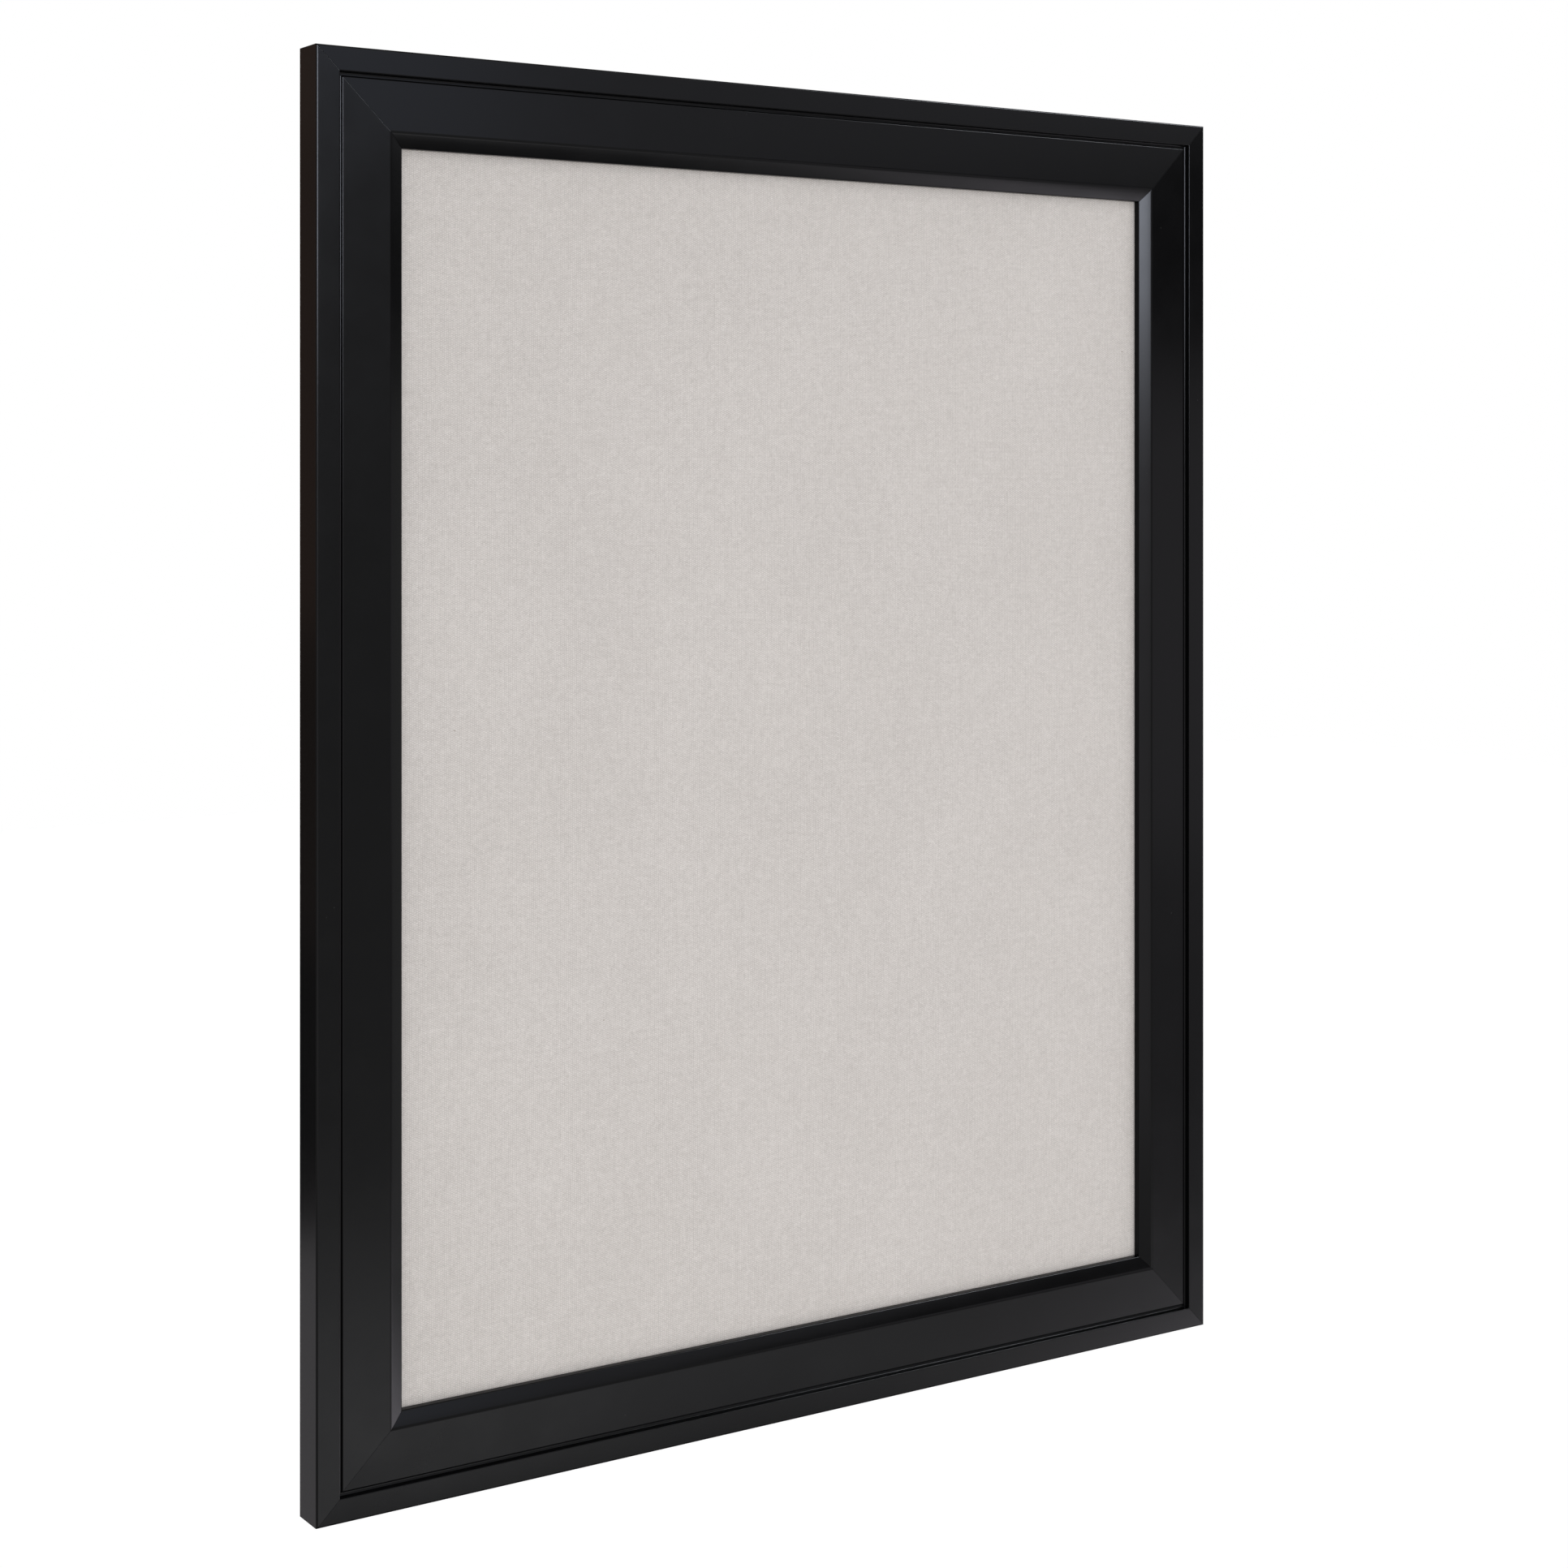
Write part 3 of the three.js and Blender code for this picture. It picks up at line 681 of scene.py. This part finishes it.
def add_world():
    world = bpy.data.worlds.new("studio")
    bpy.context.scene.world = world
    world.use_nodes = True
    graph = Graph(world.node_tree)
    plain = graph.nodes["Background"]
    plain.inputs[0].default_value = WHITE
    plain.inputs[1].default_value = WORLD_LIGHT
    white = graph.node("ShaderNodeBackground")
    white.inputs[0].default_value = WHITE
    white.inputs[1].default_value = 1.0
    output = graph.nodes["World Output"]
    graph.feed(output.inputs[0], white_when_seen(graph, plain.outputs[0], white.outputs[0]))


def add_floor():
    work = bmesh.new()
    bmesh.ops.create_grid(work, x_segments=1, y_segments=1, size=FLOOR_SIZE)
    mesh = finished_mesh(work, "floor")
    floor = bpy.data.objects.new("floor", mesh)
    floor.location = (0, 0, floor_plane)
    bpy.context.scene.collection.objects.link(floor)
    finish = bpy.data.materials.new("pale_floor")
    finish.use_nodes = True
    graph = Graph(finish.node_tree)
    surface = graph.nodes["Principled BSDF"]
    surface.inputs["Base Color"].default_value = FLOOR_COLOUR
    surface.inputs["Roughness"].default_value = 0.9
    glow = graph.node("ShaderNodeEmission")
    glow.inputs[1].default_value = FLOOR_GLOW
    both = graph.node("ShaderNodeAddShader")
    graph.feed(both.inputs[0], surface.outputs[0])
    graph.feed(both.inputs[1], glow.outputs[0])
    output = graph.nodes["Material Output"]
    graph.feed(output.inputs[0], white_when_seen(graph, surface.outputs[0], both.outputs[0]))
    mesh.materials.append(finish)


SOFTBOX_PLACE = (0.15, -3.2, -0.55)
SOFTBOX_SIZE = (2.4, 1.8)
SOFTBOX_POWER = 40


def add_softbox():
    """One large soft lamp, aimed at the board's middle, that the lacquer doesn't mirror."""
    data = bpy.data.lights.new("front_softbox", "AREA")
    data.shape = "RECTANGLE"
    data.size, data.size_y = SOFTBOX_SIZE
    data.energy = SOFTBOX_POWER
    lamp = bpy.data.objects.new("front_softbox", data)
    lamp.location = SOFTBOX_PLACE
    lamp.rotation_euler = (board_middle - Vector(SOFTBOX_PLACE)).to_track_quat("-Z", "Y").to_euler()
    lamp.visible_glossy = False
    bpy.context.scene.collection.objects.link(lamp)


def studio_card(name, corners, glow, fade=None):
    """A dark or lit card that only shows in gloss; fade is two x and the share of light at the second."""
    work = bmesh.new()
    work.faces.new([work.verts.new(corner) for corner in corners])
    mesh = finished_mesh(work, name)
    card = bpy.data.objects.new(name, mesh)
    bpy.context.scene.collection.objects.link(card)
    finish = bpy.data.materials.new(name)
    finish.use_nodes = True
    graph = Graph(finish.node_tree)
    light = graph.node("ShaderNodeEmission")
    light.inputs[0].default_value = (*glow, 1)
    light.inputs[1].default_value = 1.0
    if fade:
        start, end, share = fade
        across, _, _ = graph.split(graph.place())
        graph.feed(light.inputs[1], graph.span(across, start, end, 1.0, share))
    graph.feed(graph.nodes["Material Output"].inputs[0], light.outputs[0])
    mesh.materials.append(finish)
    card.visible_camera = False
    card.visible_diffuse = False
    card.visible_shadow = False


def upright_card(name, ends, low, high, glow, fade=None):
    (x0, y0), (x1, y1) = ends
    studio_card(name, [(x0, y0, low), (x1, y1, low), (x1, y1, high), (x0, y0, high)], glow, fade)


def floor_card(name, x0, x1, y0, y1, glow):
    z = floor_plane + CARD_LIFT
    studio_card(name, [(x0, y0, z), (x1, y0, z), (x1, y1, z), (x0, y1, z)], glow)


# Where the upright cards stand, seen from above, from one end to the other
STRIP_LEFT = (-1.45, -1.75)
STRIP_BREAK = (-0.25, -2.02)
STRIP_RIGHT = (0.16, -2.11)
GLOW_ENDS = ((0.2, -2.1), (0.9, -2.1))
RIGHT_NEAR = (1.25, -2.1)
RIGHT_LOW_END = (2.06, -1.02)
RIGHT_FAR = (2.6, -0.3)
RIGHT_GLOW_NEAR = (0.95, -2.5)
MITRE_ENDS = ((1.47, -1.65), (1.86, -0.78))
BACK_ENDS = ((-1.7, 1.2), (-0.35, 1.8))

# The patches on the floor in front lie in two rows, between these y
FLOOR_FAR = -5.2
FLOOR_MIDDLE = -2.88
FLOOR_NEAR = -0.8


def add_cards():
    """What the lacquer mirrors: upright cards by ends, heights and light, and floor cards by x and y."""
    strip = (STRIP_LEFT, STRIP_RIGHT)
    low_right = (RIGHT_NEAR, RIGHT_LOW_END)
    upright_card("left_strip", (STRIP_LEFT, STRIP_BREAK), 0.14, 1.1, (26, 27.5, 31.5))
    upright_card(
        "left_strip_end", (STRIP_BREAK, STRIP_RIGHT), 0.14, 1.1, (34, 36, 41), fade=(-0.06, 0.15, 0.28),
    )
    upright_card("left_strip_foot", strip, 0.04, 0.14, (8, 8.2, 9))
    upright_card("left_glow", GLOW_ENDS, 0.42, 1.1, (2.7, 2.9, 3.5))
    upright_card("left_low", strip, -1.0, 0.04, (2.4, 2.3, 2.4))

    upright_card("right_card", (RIGHT_NEAR, RIGHT_FAR), 0.07, 0.42, (0.02, 0.02, 0.02))
    upright_card("right_low", low_right, -0.6, 0.07, (1.45, 1.4, 1.5))
    upright_card("right_foot", low_right, -1.12, -0.6, (0.8, 0.78, 0.82))
    upright_card("right_glow", (RIGHT_GLOW_NEAR, RIGHT_FAR), 0.48, 1.3, (1.6, 1.6, 1.75))
    upright_card("mitre_glow", MITRE_ENDS, 1.12, 1.5, (52, 54, 58))

    upright_card("back_left_top", BACK_ENDS, 0.3, 1.0, (0.3, 0.205, 0.165))
    upright_card("back_left_upper", BACK_ENDS, -0.25, 0.3, (0.23, 0.155, 0.125))
    upright_card("back_left_lower", BACK_ENDS, -0.6, -0.25, (0.11, 0.085, 0.075))
    upright_card("back_left_foot", BACK_ENDS, -0.93, -0.6, (0.03, 0.03, 0.03))

    floor_card("floor_back", -3.8, -0.8, 2.2, 8.5, (0.72, 0.69, 0.72))
    floor_card("floor_left", 0.6, 1.75, FLOOR_FAR, FLOOR_MIDDLE, (4.6, 4.6, 4.7))
    floor_card("floor_middle", 1.75, 2.5, FLOOR_FAR, FLOOR_MIDDLE, (2.9, 2.9, 3.0))
    floor_card("floor_right", 2.5, 4.0, FLOOR_FAR, FLOOR_MIDDLE, (1.5, 1.5, 1.5))
    floor_card("floor_near", 2.35, 2.8, FLOOR_MIDDLE, FLOOR_NEAR, (4.2, 4.0, 4.3))
    floor_card("floor_near_right", 2.8, 4.2, FLOOR_MIDDLE, FLOOR_NEAR, (8.6, 8.2, 9))
    floor_card("floor_dark", 0.1, 1.95, FLOOR_MIDDLE, FLOOR_NEAR, (0.1, 0.1, 0.1))


# Building it all

add_camera()
add_world()
add_floor()
add_softbox()
add_cards()

lacquer = black_lacquer()
raw = raw_composite()
zinc = zinc_plate("bright_zinc", BRIGHT_ZINC, roughness=0.3)
dull_zinc = zinc_plate("dull_zinc", DULL_ZINC, roughness=0.42)
rubber = matt_rubber()

for node in ("frame_rail_top", "frame_rail_bottom", "frame_stile_left", "frame_stile_right"):
    moulding(node, lacquer, raw)
stretched_linen(linen_cloth())
dressed("backing_board", "hardboard", brown_hardboard(), BACKING_EDGE)
panel_finishes = bpy.data.objects["pin_panel"].data.materials
panel_finishes.clear()
panel_finishes.append(soft_fibreboard())

# The small parts at the back, by how their nodes' names start
SMALL_PARTS = {
    "hanger_strap": ("zinc_steel", zinc, STRAP_EDGE),
    "hanger_screw": ("zinc_steel", zinc, SCREW_EDGE),
    "v_nail": ("zinc_steel", dull_zinc, STEEL_EDGE),
    "frame_point": ("zinc_steel", dull_zinc, STEEL_EDGE),
    "wall_bumper": ("rubber", rubber, BUMPER_EDGE, BUMPER_SHARP_ANGLE),
}
for row in frame["record"]["subparts"]:
    node = row["node"]
    if node.startswith("hanger_ring"):
        wire_ring(node, node.replace("hanger_", ""), zinc)
    for start, look in SMALL_PARTS.items():
        if node.startswith(start):
            dressed(node, *look)

bpy.context.scene.view_settings.view_transform = "Standard"
